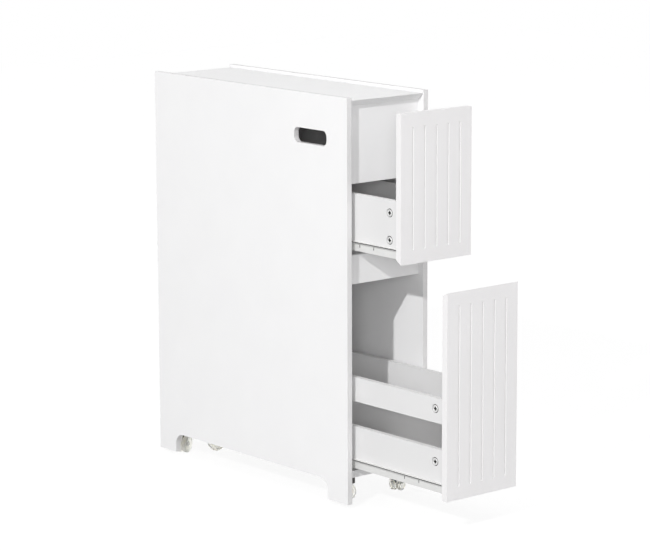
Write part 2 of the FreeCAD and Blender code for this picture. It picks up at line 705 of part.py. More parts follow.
upper_front_high = f"({LID_LOW} - lid_gap - floor_gap - {UPPER_FRONT_LOW})"
upper_outline = [
    ("0", "0"),
    ("thick_board", "upper_bevel"),
    ("thick_board", upper_front_high),
    ("0", upper_front_high),
]
drawer("upper", UPPER_OUT, UPPER_SIDE_LOW,
       [("side", UPPER_SIDE_LOW, "upper_side_height", ("upper_cam_low", "upper_cam_high"))],
       UPPER_FRONT_LOW, upper_front_high, upper_outline)
lower_front_high = "(panel_height - lower_front_drop - lower_front_low)"
lower_outline = [
    ("0", "0"),
    ("thick_board", "0"),
    ("thick_board", f"{lower_front_high} - lower_bevel"),
    ("0", lower_front_high),
]
drawer("lower", LOWER_OUT, "lower_side_low",
       [("board", "lower_side_low", "lower_board_height", ("lower_cam",)),
        ("rail", "lower_rail_low", "lower_rail_height", ("rail_cam",))],
       "lower_front_low", lower_front_high, lower_outline)

doc.recompute()

# Every object must be sound before its file is written.
for item in doc.Objects:
    if "Invalid" in item.State or "Error" in item.State:
        raise RuntimeError(f"{item.Label} did not build: {item.State}")
os.makedirs("parts", exist_ok=True)
for label, item in nodes.items():
    shape = item.Shape
    if shape.isNull() or not shape.isValid() or not shape.Solids:
        raise RuntimeError(f"{label} is not a valid solid")
    shape.exportStep(f"parts/{label}.step")
    size = shape.BoundBox
    spans = ((size.XMin, size.XMax), (size.YMin, size.YMax), (size.ZMin, size.ZMax))
    print(label, len(shape.Solids), "solids", [f"{low:.1f} to {high:.1f}" for low, high in spans])
print(len(nodes), "nodes")
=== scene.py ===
# %% [markdown]
# # Dressing a slim bathroom cabinet
# The boards, runners, rollers and casters of this cabinet come ready made, in metres, as a fixed frame. A
# real cabinet is more than its solids: its edges are eased, its foil has a faint peel, its fittings are
# cast and plated. This lesson adds those things, one short cell at a time, and never moves a board.

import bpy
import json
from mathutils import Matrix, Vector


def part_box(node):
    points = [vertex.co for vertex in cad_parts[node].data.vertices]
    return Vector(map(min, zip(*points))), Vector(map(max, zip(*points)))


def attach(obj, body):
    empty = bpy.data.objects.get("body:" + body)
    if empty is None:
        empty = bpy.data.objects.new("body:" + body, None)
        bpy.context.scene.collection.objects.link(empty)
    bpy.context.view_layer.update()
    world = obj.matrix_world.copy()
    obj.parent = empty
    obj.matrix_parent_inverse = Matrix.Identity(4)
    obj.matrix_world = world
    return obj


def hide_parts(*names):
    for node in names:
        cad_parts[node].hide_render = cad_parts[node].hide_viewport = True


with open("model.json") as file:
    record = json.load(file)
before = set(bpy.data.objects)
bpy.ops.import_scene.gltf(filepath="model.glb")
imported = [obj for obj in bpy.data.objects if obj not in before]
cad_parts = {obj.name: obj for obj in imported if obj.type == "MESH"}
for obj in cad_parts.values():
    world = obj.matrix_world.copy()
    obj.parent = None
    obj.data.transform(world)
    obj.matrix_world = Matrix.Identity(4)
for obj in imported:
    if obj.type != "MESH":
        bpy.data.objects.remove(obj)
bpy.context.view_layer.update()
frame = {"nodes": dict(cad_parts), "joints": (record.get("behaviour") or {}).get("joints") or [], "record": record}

# %% [markdown]
# The pieces are looked up by name, so that each one can be given its own finish later.

# %% Look up the solids by name
import json
import math

import bmesh
import bpy
from mathutils import Matrix, Vector

MM = 0.001
solids = frame["nodes"]

# %% [markdown]
# ## Finishes
# A finish is a material made of nodes. Most finishes here need the same four things: soft patches of a
# known size, two close tints, a gloss that drifts a little, and a fine relief. Image files could do this,
# but noise that is measured in metres keeps its scale on every board, so a few small helpers are written
# for it. The first two make a blank finish and the patches.


# %% A blank finish and its patches
def new_finish(name, roughness, metallic=0.0):
    finish = bpy.data.materials.new(name)
    finish.use_nodes = True
    shader = finish.node_tree.nodes["Principled BSDF"]
    shader.inputs["Roughness"].default_value = roughness
    shader.inputs["Metallic"].default_value = metallic
    return finish, finish.node_tree, shader


def patches(tree, size, detail=3.0, stretch=(1.0, 1.0, 1.0)):
    """Random patches of about the given size in metres, longer along an axis where stretch is above 1."""
    place = tree.nodes.new("ShaderNodeTexCoord")
    scale = tree.nodes.new("ShaderNodeMapping")
    scale.inputs["Scale"].default_value = [1 / (size * longer) for longer in stretch]
    noise = tree.nodes.new("ShaderNodeTexNoise")
    noise.inputs["Scale"].default_value = 1.0
    noise.inputs["Detail"].default_value = detail
    tree.links.new(place.outputs["Object"], scale.inputs["Vector"])
    tree.links.new(scale.outputs["Vector"], noise.inputs["Vector"])
    return noise.outputs["Fac"]


finishes = {}
print("helpers ready:", new_finish.__name__, "and", patches.__name__)

# %% [markdown]
# The other three lead the patches into the shader: into its colour as two close tints, into its gloss and
# into its relief. Noise seldom comes near 0 or 1, so the gloss is spread over the part between, where
# most of the values lie.

# %% Tints, gloss and relief
NOISE_LOW, NOISE_HIGH = 0.3, 0.7


def two_tints(tree, shader, share, first, second, spread=0.2):
    ramp = tree.nodes.new("ShaderNodeValToRGB")
    for stop, place, colour in zip(ramp.color_ramp.elements, (0.5 - spread, 0.5 + spread), (first, second)):
        stop.position = place
        stop.color = (*colour, 1.0)
    tree.links.new(share, ramp.inputs["Fac"])
    tree.links.new(ramp.outputs["Color"], shader.inputs["Base Color"])


def drifting_gloss(tree, shader, share, low, high):
    spread = tree.nodes.new("ShaderNodeMapRange")
    spread.inputs["From Min"].default_value = NOISE_LOW
    spread.inputs["From Max"].default_value = NOISE_HIGH
    spread.inputs["To Min"].default_value = low
    spread.inputs["To Max"].default_value = high
    tree.links.new(share, spread.inputs["Value"])
    tree.links.new(spread.outputs["Result"], shader.inputs["Roughness"])


def fine_relief(tree, shader, share, height, strength):
    bump = tree.nodes.new("ShaderNodeBump")
    bump.inputs["Distance"].default_value = height
    bump.inputs["Strength"].default_value = strength
    tree.links.new(share, bump.inputs["Height"])
    tree.links.new(bump.outputs["Normal"], shader.inputs["Normal"])


print("helpers ready:", two_tints.__name__, drifting_gloss.__name__, "and", fine_relief.__name__)

# %% [markdown]
# The boards are fibreboard and chipboard wrapped in white foil. Seen close, such foil isn't flat: it has
# a peel of about a millimetre from the press, and its whiteness wanders by a percent or two over a hand's
# width. The drawer fronts are wrapped in a slightly warmer sheet, and thin hardboard is duller, with long
# fibres. All of them are matt, so their sheen is set low. Each row of the list gives two tints, the
# smoothest and the dullest gloss, the size of the peel and its strength.

# %% White boards
WHITE_FINISHES = {
    "panel_white": ((0.908, 0.906, 0.910), (0.924, 0.922, 0.925), 0.52, 0.62, 1.3 * MM, 0.10),
    "front_white": ((0.876, 0.866, 0.871), (0.892, 0.882, 0.887), 0.44, 0.54, 1.1 * MM, 0.10),
    "inner_white": ((0.796, 0.793, 0.795), (0.812, 0.809, 0.810), 0.46, 0.58, 1.5 * MM, 0.12),
    "back_white": ((0.830, 0.822, 0.806), (0.862, 0.855, 0.842), 0.62, 0.78, 2.2 * MM, 0.30),
    "drawer_bottom_white": ((0.846, 0.842, 0.834), (0.868, 0.864, 0.857), 0.45, 0.58, 1.8 * MM, 0.18),
}
FOIL_TINT_PATCH, FOIL_GLOSS_PATCH = 90 * MM, 25 * MM
PEEL_HEIGHT, FOIL_SHEEN = 0.05 * MM, 0.06
EVEN_GRAIN, UPRIGHT_FIBRE = (1.0, 1.0, 1.0), (1.0, 1.0, 3.0)
for slot, (first, second, smooth, dull, peel, strength) in WHITE_FINISHES.items():
    finish, tree, shader = new_finish(slot, dull)
    two_tints(tree, shader, patches(tree, FOIL_TINT_PATCH, detail=4.0), first, second)
    drifting_gloss(tree, shader, patches(tree, FOIL_GLOSS_PATCH), smooth, dull)
    fibre = UPRIGHT_FIBRE if slot == "back_white" else EVEN_GRAIN
    fine_relief(tree, shader, patches(tree, peel, detail=2.0, stretch=fibre), PEEL_HEIGHT, strength)
    shader.inputs["Specular IOR Level"].default_value = FOIL_SHEEN
    finishes[slot] = finish
print("white finishes:", ", ".join(WHITE_FINISHES))

# %% [markdown]
# The narrow faces of the two side panels carry a glued band. In the photo it is a shade greyer than the
# foil, and that draws the thickness of the panel as a line along its front and its top. Its grey here is
# partly the band's own tint and partly painted shade on these faces. On the drawer fronts the walls of the
# half-round grooves take a greyer tint, which is painted shade that dims the highlight of the lit wall.
# Both can be picked by how far a face leans to the side: 1 for a face that looks left or right, 0 for one
# that looks to the front, the top or the back, and something between them for the wall of a groove.


# %% Banded edges and groove walls with painted shade
def tinted_by_lean(slot, name, tint, lean, reach):
    """A copy of a finish with another tint on the faces whose lean to the side is near the given one."""
    finish = finishes[slot].copy()
    finish.name = name
    tree = finish.node_tree
    surface = tree.nodes.new("ShaderNodeNewGeometry")
    parts = tree.nodes.new("ShaderNodeSeparateXYZ")
    sideways = tree.nodes.new("ShaderNodeMath")
    sideways.operation = "ABSOLUTE"
    near = tree.nodes.new("ShaderNodeMath")
    near.operation = "COMPARE"
    near.inputs[1].default_value = lean
    near.inputs[2].default_value = reach
    pick = tree.nodes.new("ShaderNodeMix")
    pick.data_type = "RGBA"
    colour = tree.nodes["Principled BSDF"].inputs["Base Color"]
    foil = colour.links[0].from_socket
    tree.links.new(surface.outputs["True Normal"], parts.inputs["Vector"])
    tree.links.new(parts.outputs["X"], sideways.inputs[0])
    tree.links.new(sideways.outputs["Value"], near.inputs[0])
    tree.links.new(near.outputs["Value"], pick.inputs["Factor"])
    tree.links.new(foil, pick.inputs["A"])
    pick.inputs["B"].default_value = (*tint, 1.0)
    tree.links.new(pick.outputs["Result"], colour)
    return finish


# The band tint is partly the band's own grey and partly painted shade on the narrow faces.
BAND_GREY_AND_SHADE, BAND_LEAN, BAND_REACH = (0.800, 0.794, 0.796), 0.0, 0.5
# The groove tint is painted shade that dims the highlight on the lit wall of each groove.
GROOVE_WALL_SHADE, WALL_LEAN, WALL_REACH = (0.785, 0.777, 0.781), 0.74, 0.25
side_panel_white = tinted_by_lean("panel_white", "side_panel_white", BAND_GREY_AND_SHADE, BAND_LEAN, BAND_REACH)
grooved_white = tinted_by_lean("front_white", "grooved_white", GROOVE_WALL_SHADE, WALL_LEAN, WALL_REACH)
print("banded finishes:", side_panel_white.name, "and", grooved_white.name)

# %% [markdown]
# The runners are pressed steel with a white powder coat, which dries like the skin of an orange. The
# caster plates have a thin dark coat, and the arms are moulded in dark plastic. None of them shows bare
# metal, so the shader stays non-metallic, and a thin clear layer adds the sharp glint that powder coat
# has over its soft one. The last number of a row is the weight of that layer.

# %% Coated steel
COATS = {
    "runner_white": ((0.75, 0.75, 0.74), (0.79, 0.79, 0.78), 0.30, 0.42, 0.9 * MM, 0.25, 0.25),
    "caster_steel": ((0.050, 0.047, 0.044), (0.085, 0.080, 0.074), 0.34, 0.52, 0.8 * MM, 0.30, 0.1),
    "caster_dark": ((0.028, 0.026, 0.025), (0.052, 0.049, 0.046), 0.32, 0.50, 0.8 * MM, 0.30, 0.1),
}
COAT_TINT_PATCH, COAT_GLOSS_PATCH, GLINT_ROUGHNESS = 18 * MM, 9 * MM, 0.15
for slot, (first, second, smooth, dull, peel, strength, clear) in COATS.items():
    finish, tree, shader = new_finish(slot, dull)
    two_tints(tree, shader, patches(tree, COAT_TINT_PATCH, detail=5.0), first, second)
    drifting_gloss(tree, shader, patches(tree, COAT_GLOSS_PATCH), smooth, dull)
    fine_relief(tree, shader, patches(tree, peel, detail=1.0), PEEL_HEIGHT, strength)
    shader.inputs["Coat Weight"].default_value = clear
    shader.inputs["Coat Roughness"].default_value = GLINT_ROUGHNESS
    finishes[slot] = finish
print("coated steel:", ", ".join(COATS))

# %% [markdown]
# Cam locks are zinc castings, tumbled until they are dull, and screws and bolts are bright plated. Bare
# metal takes its colour from what it reflects, so these finishes are fully metallic and differ in tint,
# in roughness and in the size of their pits.

# %% Bare metal
METALS = {
    "cam_zinc": ((0.66, 0.66, 0.66), (0.82, 0.82, 0.81), 0.30, 0.46, 0.5 * MM, 0.35),
    "bolt_steel": ((0.50, 0.50, 0.49), (0.62, 0.62, 0.60), 0.22, 0.36, 0.7 * MM, 0.12),
    "screw_steel": ((0.46, 0.46, 0.45), (0.60, 0.59, 0.57), 0.22, 0.38, 0.6 * MM, 0.15),
}
METAL_TINT_PATCH, METAL_GLOSS_PATCH, PIT_HEIGHT = 3 * MM, 2 * MM, 0.04 * MM
for slot, (first, second, smooth, dull, pit, strength) in METALS.items():
    finish, tree, shader = new_finish(slot, dull, metallic=1.0)
    two_tints(tree, shader, patches(tree, METAL_TINT_PATCH, detail=5.0), first, second)
    drifting_gloss(tree, shader, patches(tree, METAL_GLOSS_PATCH), smooth, dull)
    fine_relief(tree, shader, patches(tree, pit, detail=2.0), PIT_HEIGHT, strength)
    finishes[slot] = finish
print("bare metal:", ", ".join(METALS))

# %% [markdown]
# The rollers and bushes are nylon, a dull plastic that lets a little light in. The wheels are a clearer
# cream plastic, and the photo shows them pale even in the shade under the boards. Light that enters and
# leaves again is what the subsurface sockets are for, and a greater depth in metres carries it further
# through the rim. The last number of a row is the share of light that passes straight through. It makes
# the wheels milky, because their rough surface blurs what is behind them, and a low bend, the IOR socket,
# keeps them from sparkling like glass.

# %% Plastics that let light in
PLASTIC_BEND = 1.3
PLASTICS = {
    "roller_nylon": ((0.74, 0.74, 0.70), (0.80, 0.80, 0.76), 0.42, 0.55, 0.25, 2.0 * MM, 0.0),
    "bush_plastic": ((0.80, 0.80, 0.79), (0.85, 0.85, 0.84), 0.40, 0.52, 0.15, 1.5 * MM, 0.0),
    "wheel_cream": ((0.955, 0.950, 0.90), (0.975, 0.970, 0.93), 0.58, 0.70, 0.6, 4.0 * MM, 0.85),
}
MOULD_TINT_PATCH, MOULD_GLOSS_PATCH = 12 * MM, 5 * MM
MOULD_GRAIN, MOULD_HEIGHT, MOULD_STRENGTH = 0.9 * MM, 0.03 * MM, 0.2
WARM_REACH = (1.0, 0.95, 0.8)
for slot, (first, second, smooth, dull, inside, depth, clear) in PLASTICS.items():
    finish, tree, shader = new_finish(slot, dull)
    two_tints(tree, shader, patches(tree, MOULD_TINT_PATCH, detail=3.0), first, second)
    drifting_gloss(tree, shader, patches(tree, MOULD_GLOSS_PATCH), smooth, dull)
    fine_relief(tree, shader, patches(tree, MOULD_GRAIN, detail=2.0), MOULD_HEIGHT, MOULD_STRENGTH)
    shader.inputs["Subsurface Weight"].default_value = inside
    shader.inputs["Subsurface Scale"].default_value = depth
    shader.inputs["Subsurface Radius"].default_value = WARM_REACH
    shader.inputs["Transmission Weight"].default_value = clear
    shader.inputs["IOR"].default_value = PLASTIC_BEND
    finishes[slot] = finish
print("plastics:", ", ".join(PLASTICS))

# %% [markdown]
# The dowels are beech. They sit inside the boards, but someone who lifts a panel away sees them, so they
# get grain: patches stretched along the dowel, which lies across the cabinet, with a tint that follows
# the fibre. A second, nearly black finish is painted shade, laid into gaps and recesses where shadow falls.

# %% Beech and painted recess shade
FIBRE_SIZE, FIBRE_RUN, FIBRE_HEIGHT = 0.8 * MM, (14.0, 1.0, 1.0), 0.06 * MM
PALE_BEECH, DARK_BEECH = (0.62, 0.43, 0.25), (0.46, 0.29, 0.15)
DEEP_STRENGTH = 0.4
finish, tree, shader = new_finish("dowel_wood", roughness=0.6)
grain = patches(tree, FIBRE_SIZE, detail=4.0, stretch=FIBRE_RUN)
two_tints(tree, shader, grain, DARK_BEECH, PALE_BEECH)
fine_relief(tree, shader, grain, FIBRE_HEIGHT, DEEP_STRENGTH)
finishes["dowel_wood"] = finish

# A nearly black finish that paints shade into gaps, recesses and slots, and onto the runners' cut edge.
SHADE_PATCH, SHADE_GRAIN = 1.5 * MM, 0.4 * MM
SHADE_BLACK, SHADE_GREY = (0.012, 0.012, 0.013), (0.045, 0.045, 0.046)
painted_shade_and_cut_edge, tree, shader = new_finish("painted_shade_and_cut_edge", roughness=0.7, metallic=0.6)
two_tints(tree, shader, patches(tree, SHADE_PATCH, detail=4.0), SHADE_BLACK, SHADE_GREY)
fine_relief(tree, shader, patches(tree, SHADE_GRAIN, detail=2.0), PIT_HEIGHT, DEEP_STRENGTH)
print("finishes made:", len(finishes) + 1)

# %% [markdown]
# Each solid already knows the name of its finish, because the record lists one slot per piece. A loop
# over that list gives every board, runner and fitting its material, and nothing is left in its plain
# import colour. The side panels and the grooved fronts take the copies with painted shade on their
# narrow faces and groove walls instead.

# %% Give every solid its finish
slot_of = {entry["node"]: entry["material_slot"] for entry in frame["record"]["subparts"]}
LEAN_TINTED = {
    "left_side_panel": side_panel_white,
    "right_side_panel": side_panel_white,
    "upper_drawer_front": grooved_white,
    "lower_drawer_front": grooved_white,
}
for name, slot in slot_of.items():
    for place in solids[name].material_slots:
        place.material = LEAN_TINTED.get(name, finishes[slot])
print("finished solids:", len(slot_of))

# %% [markdown]
# ## Eased edges
# No board leaves the factory with a knife edge: foil is folded round it and steel is tumbled. A thin
# bevel catches a line of light along every edge, and the eye reads it as thickness. The solids may not be
# changed, but modifiers may sit on them: one joins the loose corners of the import, one merges flat
# triangles into whole faces, one cuts the bevel, and one evens the shading. Where the fixed shelf meets
# the panel above it, a wider bevel draws the seam.


# %% Ease the edges of boards and fittings
JOIN_REACH = 0.002 * MM
FLAT_ANGLE, EDGE_ANGLE = math.radians(0.5), math.radians(40)


def ease(solid, width, steps=2):
    joined = solid.modifiers.new("joined", "WELD")
    joined.merge_threshold = JOIN_REACH
    flat = solid.modifiers.new("flat_faces", "DECIMATE")
    flat.decimate_type = "DISSOLVE"
    flat.angle_limit = FLAT_ANGLE
    edge = solid.modifiers.new("eased_edge", "BEVEL")
    edge.width = width
    edge.segments = steps
    edge.limit_method = "ANGLE"
    edge.angle_limit = EDGE_ANGLE
    edge.harden_normals = False
    even = solid.modifiers.new("even_shade", "WEIGHTED_NORMAL")
    even.keep_sharp = False


EDGE_WIDTHS = {
    "panel_white": 0.6 * MM,
    "front_white": 1.0 * MM,
    "inner_white": 0.6 * MM,
    "back_white": 0.3 * MM,
    "runner_white": 0.2 * MM,
    "roller_nylon": 0.5 * MM,
}
SEAM_WIDTHS = {"tissue_shelf": 1.2 * MM, "tissue_front_panel": 1.2 * MM}
eased = [name for name, slot in slot_of.items() if slot in EDGE_WIDTHS]
for name in eased:
    ease(solids[name], SEAM_WIDTHS.get(name, EDGE_WIDTHS[slot_of[name]]))
print("eased solids:", len(eased))

# %% [markdown]
# ## Turned fittings
# Cam locks, screws and wheels are all turned shapes with something more to them: a cross for the driver,
# or ribs. A lathe in mesh code is a stack of rings. If the radius or the height of a ring may depend on
# the angle, the same lathe also makes the cross and the ribs, so one helper serves every fitting.


# %% A small lathe
def turned(mesh, place, rings, segments=48, bored=False, dark=()):
    """Adds a turned solid. A ring is a radius and a height, in metres, and either may be a rule of the angle.

    The steps between rings that are listed as dark, and the last face with them, take the second material.
    """
    rows = []
    for radius, height in rings:
        row = []
        for index in range(segments):
            angle = math.tau * index / segments
            reach = radius(angle) if callable(radius) else radius
            level = height(angle) if callable(height) else height
            spot = Vector((reach * math.cos(angle), reach * math.sin(angle), level))
            row.append(mesh.verts.new(place @ spot))
        rows.append(row)
    pairs = list(zip(rows, rows[1:])) + ([(rows[-1], rows[0])] if bored else [])
    for step, (inner, outer) in enumerate(pairs):
        for index in range(segments):
            after = (index + 1) % segments
            face = mesh.faces.new((inner[index], inner[after], outer[after], outer[index]))
            face.material_index = 1 if step in dark else 0
    if not bored:
        mesh.faces.new(rows[0])
        mesh.faces.new(rows[-1]).material_index = 1 if dark else 0


print("helper ready:", turned.__name__)

# %% [markdown]
# The cross for a driver is two bars laid over each other. From the middle, the rim of one bar is as far
# away as its end or its side, whichever is nearer, and the rim of the cross is that of the bar which
# reaches further.

# %% A cross recess
NEARLY_ZERO = 1e-9


def cross(length, width):
    """The outline of a cross recess as a radius at each angle."""
    def reach(angle):
        along, across = abs(math.cos(angle)) + NEARLY_ZERO, abs(math.sin(angle)) + NEARLY_ZERO
        return max(min(length / along, width / across), min(length / across, width / along))
    return reach


print("a cross with arms of 3 by 1 reaches", round(cross(3.0, 1.0)(0.0), 3), "along an arm")

# %% [markdown]
# A built mesh becomes a piece in a few steps. Its faces are turned outwards, its materials are added, and
# its round faces are shaded smooth while real edges stay sharp. The piece then rides on the body of the
# plain solid and stands in for it, so that it follows every joint as the solid does.


# %% From a mesh to a piece
def finish_mesh(name, mesh, materials, body, node, sharp=35):
    """Turns a built mesh into a piece that rides on its body in place of the plain solid."""
    bmesh.ops.recalc_face_normals(mesh, faces=mesh.faces)
    data = bpy.data.meshes.new(name)
    mesh.to_mesh(data)
    mesh.free()
    for material in materials:
        data.materials.append(material)
    for face in data.polygons:
        face.use_smooth = True
    data.set_sharp_from_angle(angle=math.radians(sharp))
    piece = bpy.data.objects.new(name, data)
    bpy.context.scene.collection.objects.link(piece)
    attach(piece, body)
    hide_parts(node)
    return piece


print("helper ready:", finish_mesh.__name__)

# %% [markdown]
# The solids hold several equal fittings in one mesh. To dress each one, the lesson needs the box of every
# loose lump in that mesh. Walking from corner to corner along the edges finds the lumps. A second helper
# stands a fitting at a point, looking along a direction.


# %% Find the separate lumps of a solid
def lumps(name):
    mesh = bmesh.new()
    mesh.from_mesh(solids[name].data)
    bmesh.ops.remove_doubles(mesh, verts=mesh.verts, dist=JOIN_REACH)
    left = set(mesh.verts)
    found = []
    while left:
        reached, edge = set(), [left.pop()]
        while edge:
            corner = edge.pop()
            reached.add(corner)
            for line in corner.link_edges:
                other = line.other_vert(corner)
                if other in left:
                    left.remove(other)
                    edge.append(other)
        low = Vector(min(corner.co[axis] for corner in reached) for axis in range(3))
        high = Vector(max(corner.co[axis] for corner in reached) for axis in range(3))
        found.append((low, high))
    mesh.free()
    return sorted(found, key=lambda pair: tuple(pair[0]))


def facing(point, direction):
    """A place at a point whose own Z axis looks along a direction."""
    return Matrix.Translation(point) @ direction.to_track_quat("Z", "Y").to_matrix().to_4x4()


print("separate cam locks in the carcass:", len(lumps("carcass_cam_locks")))

# %% [markdown]
# A cam lock is the round fitting in the drawer side that pulls the front tight. Its face has a raised
# rim, a shallow ring, and a cross for the driver. A gap runs round the face, because the bore is a little
# wider than the casting. The walls of that gap and the cross are painted nearly black as painted shade. In
# the photo these four discs are the only grey marks on the white boards, so they are worth real rings
# instead of a plain disc.

# %% Cam locks
CAM_RIM, CAM_RING, CAM_EYE = 6.3 * MM, 5.3 * MM, 4.4 * MM
CAM_GAP_DEPTH, CAM_RING_DEPTH, CAM_EYE_DEPTH, CAM_CROSS_DEPTH = 1.5 * MM, 0.5 * MM, 0.15 * MM, 1.9 * MM
CAM_EASE, CAM_DRAFT = 0.3 * MM, 0.1 * MM
CAM_CROSS = cross(3.3 * MM, 1.4 * MM)
CAM_CROSS_FOOT = cross(2.9 * MM, 1.1 * MM)
# The steps of the gap and of the cross, and the floor of the cross, take the nearly black painted shade.
CAM_SHADE_STEPS = (0, 1, 2, 9)


def cam_rings(radius, depth):
    return [
        (radius, -depth),
        (radius, -CAM_GAP_DEPTH - CAM_DRAFT),
        (CAM_RIM, -CAM_GAP_DEPTH),
        (CAM_RIM - CAM_DRAFT, -CAM_DRAFT),
        (CAM_RIM - CAM_EASE, 0.0),
        (CAM_RING, 0.0),
        (CAM_RING - CAM_EASE, -CAM_RING_DEPTH),
        (CAM_EYE + CAM_EASE, -CAM_RING_DEPTH),
        (CAM_EYE, -CAM_EYE_DEPTH),
        (CAM_CROSS, -CAM_EYE_DEPTH),
        (CAM_CROSS_FOOT, -CAM_CROSS_DEPTH),
    ]


def cam_locks(node, body):
    mesh = bmesh.new()
    found = lumps(node)
    for low, high in found:
        size, middle = high - low, (low + high) / 2
        if size.z < size.y:
            outward, depth = Vector((0, 0, -1)), size.z
        else:
            outward, depth = Vector((math.copysign(1, middle.x), 0, 0)), size.x
        face = middle + outward * depth / 2
        turned(mesh, facing(face, outward), cam_rings(size.y / 2, depth), dark=CAM_SHADE_STEPS)
    finish_mesh(node + "_dressed", mesh, [finishes["cam_zinc"], painted_shade_and_cut_edge], body, node)
    print(node, len(found), "cam locks")


cam_locks("upper_drawer_cam_locks", "upper_drawer")
cam_locks("lower_drawer_cam_locks", "lower_drawer")
cam_locks("carcass_cam_locks", "cabinet")

# %% [markdown]
# The screws are small, but the ones under the caster plates and along the runners show when the cabinet
# is tipped or a drawer is out. Each has a low domed head with a cross, and a shank that tapers to a
# point. Which end the head is on follows from the way the screw runs: across the cabinet it faces the
# middle, upright screws are driven from below, and those that run front to back face the wall.

# %% Screws
HEAD_HEIGHT, SHANK, TIP = 1.2 * MM, 1.6 * MM, 0.2 * MM
EDGE_LEVEL, SHOULDER_LEVEL, DRIVE_LEVEL = 0.45 * HEAD_HEIGHT, 0.85 * HEAD_HEIGHT, 0.2 * HEAD_HEIGHT
SHOULDER_SHARE, DOME_SHARE = 0.86, 0.62
DRIVE_SHARE, DRIVE_FOOT_SHARE, DRIVE_WIDTH, DRIVE_FOOT_WIDTH = 0.8, 0.6, 0.42 * MM, 0.30 * MM
# The walls and the floor of each cross take the nearly black painted shade.
SCREW_SEGMENTS, SCREW_SHADE_STEPS = 24, (7,)


def screw_rings(head, length):
    dome = head * DOME_SHARE
    return [
        (TIP, -length),
        (SHANK, -length + 2 * SHANK),
        (SHANK, 0.0),
        (head, 0.0),
        (head, EDGE_LEVEL),
        (head * SHOULDER_SHARE, SHOULDER_LEVEL),
        (dome, HEAD_HEIGHT),
        (cross(dome * DRIVE_SHARE, DRIVE_WIDTH), HEAD_HEIGHT),
        (cross(dome * DRIVE_FOOT_SHARE, DRIVE_FOOT_WIDTH), DRIVE_LEVEL),
    ]


def screws(node, body):
    mesh = bmesh.new()
    found = lumps(node)
    for low, high in found:
        size, middle = high - low, (low + high) / 2
        along = max(range(3), key=lambda axis: size[axis])
        head_side = (-math.copysign(1, middle.x), 1.0, -1.0)
        outward = Vector((0, 0, 0))
        outward[along] = head_side[along]
        under_head = middle + outward * (size[along] / 2 - HEAD_HEIGHT)
        head = min(size[axis] for axis in range(3) if axis != along) / 2
        rings = screw_rings(head, size[along] - HEAD_HEIGHT)
        turned(mesh, facing(under_head, outward), rings, SCREW_SEGMENTS, dark=SCREW_SHADE_STEPS)
    finish_mesh(node + "_dressed", mesh, [finishes["screw_steel"], painted_shade_and_cut_edge], body, node)
    print(node, len(found), "screws")


screws("carcass_screws", "cabinet")
screws("upper_drawer_screws", "upper_drawer")
screws("lower_drawer_screws", "lower_drawer")

# %% [markdown]
# Each caster has two wheels, one on either side of its arm. A furniture wheel is moulded: a hub, a thin
# web with ribs to stiffen it, and a rim with a rounded shoulder. The height of the web is a rule of the
# angle, so the ribs rise out of the lathe itself. The joint of the pair says where its centre is and
# which way the axle lies.

# %% Caster wheels
WHEEL_BORE, WHEEL_HUB, WHEEL_RIM, WHEEL_RADIUS = 3.05 * MM, 6.0 * MM, 10.9 * MM, 16.0 * MM
WHEEL_INNER, WHEEL_OUTER, HUB_FACE, WEB_FACE, RIB_FACE = 2.5 * MM, 10.5 * MM, 8.5 * MM, 7.0 * MM, 8.2 * MM
SHOULDER, INNER_EASE, RIM_EASE, WEB_EASE = 2.5 * MM, 1.2 * MM, 0.4 * MM, 0.3 * MM
RIBS, RIB_SHARPNESS = 6, 4
WHEEL_SEGMENTS, WHEEL_SHARP = 96, 50


def web_height(angle):
    return WEB_FACE + (RIB_FACE - WEB_FACE) * max(0.0, math.cos(RIBS * angle)) ** RIB_SHARPNESS


def quarter_turn(radius, height, rounding, start, steps=6):
    """Rings of a rounded corner with its centre at a radius and a height."""
    rings = []
    for step in range(steps + 1):
        angle = start + math.pi / 2 * step / steps
        rings.append((radius + rounding * math.cos(angle), height + rounding * math.sin(angle)))
    return rings


wheel_rings = [(WHEEL_BORE, WHEEL_INNER)]
wheel_rings += quarter_turn(WHEEL_RADIUS - INNER_EASE, WHEEL_INNER + INNER_EASE, INNER_EASE, -math.pi / 2)
wheel_rings += quarter_turn(WHEEL_RADIUS - SHOULDER, WHEEL_OUTER - SHOULDER, SHOULDER, 0.0)
wheel_rings += [(WHEEL_RIM + RIM_EASE, WHEEL_OUTER), (WHEEL_RIM, WHEEL_OUTER - RIM_EASE)]
wheel_rings += [(WHEEL_RIM - WEB_EASE, web_height), (WHEEL_HUB + WEB_EASE, web_height)]
wheel_rings += [(WHEEL_HUB, HUB_FACE - WEB_EASE), (WHEEL_HUB - RIM_EASE, HUB_FACE), (WHEEL_BORE, HUB_FACE)]

joints = {joint["name"]: joint for joint in frame["joints"]}
CASTERS = ("front_left", "front_right", "back_left", "back_right", "back_middle")
for name in CASTERS:
    joint = joints[name + "_roll"]
    middle, axle = Vector(joint["pos_m"]), Vector(joint["axis"])
    mesh = bmesh.new()
    for side in (axle, -axle):
        turned(mesh, facing(middle, side), wheel_rings, WHEEL_SEGMENTS, bored=True)
    finish_mesh(name + "_wheels_dressed", mesh, [finishes["wheel_cream"]], name + "_wheels",
                name + "_caster_wheels", WHEEL_SHARP)
print("wheel pairs dressed:", len(CASTERS))

# %% [markdown]
# A steel rivet runs through the foot of each dark arm and carries the two wheels. In the solid, arm and
# rivet are one lump, so a copy of its mesh stands in for it, and the faces near the axle, outside the
# arm, turn to steel.

